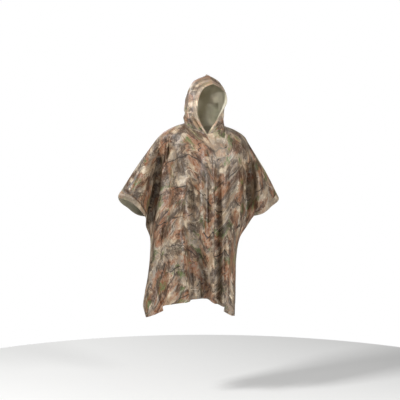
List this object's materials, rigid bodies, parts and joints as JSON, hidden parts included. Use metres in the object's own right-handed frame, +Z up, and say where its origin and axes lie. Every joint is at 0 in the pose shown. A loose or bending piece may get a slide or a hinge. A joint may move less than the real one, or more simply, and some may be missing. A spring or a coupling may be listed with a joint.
{
  "type": "hooded rain poncho",
  "caption": "Hooded camouflage rain poncho, worn and hollow, hood up, with short wide sleeves, a throat flap and a hem stepped down to corner tabs with eyelets.",
  "frame": {"origin": "the middle of the neck, where the wearer's shoulders carry the garment", "axes": "+Z up; the front faces -Y; +X is the wearer's left, the viewer's right"},
  "size_m": [0.889, 0.3803, 1.3358],
  "materials": {
    "coated_cloth": null,
    "hem_cloth": "the same coated polyester folded and stitched",
    "eyelet_metal": "dark oxidised brass, low gloss"
  },
  "bodies": {
    "root": {"front_panel": "coated_cloth", "back_panel": "coated_cloth", "hood_right": "coated_cloth", "hood_left": "coated_cloth", "front_hem": "hem_cloth", "back_hem": "hem_cloth", "throat_flap": "hem_cloth", "hood_right_face_hem": "hem_cloth", "hood_left_face_hem": "hem_cloth", "front_right_corner_patch": "hem_cloth", "front_right_cuff_hem": "hem_cloth", "front_left_corner_patch": "hem_cloth", "front_left_cuff_hem": "hem_cloth", "back_right_corner_patch": "hem_cloth", "back_right_cuff_hem": "hem_cloth", "back_left_corner_patch": "hem_cloth", "back_left_cuff_hem": "hem_cloth", "front_right_eyelet": "eyelet_metal", "front_left_eyelet": "eyelet_metal", "back_right_eyelet": "eyelet_metal", "back_left_eyelet": "eyelet_metal"}
  },
  "joints": []
}
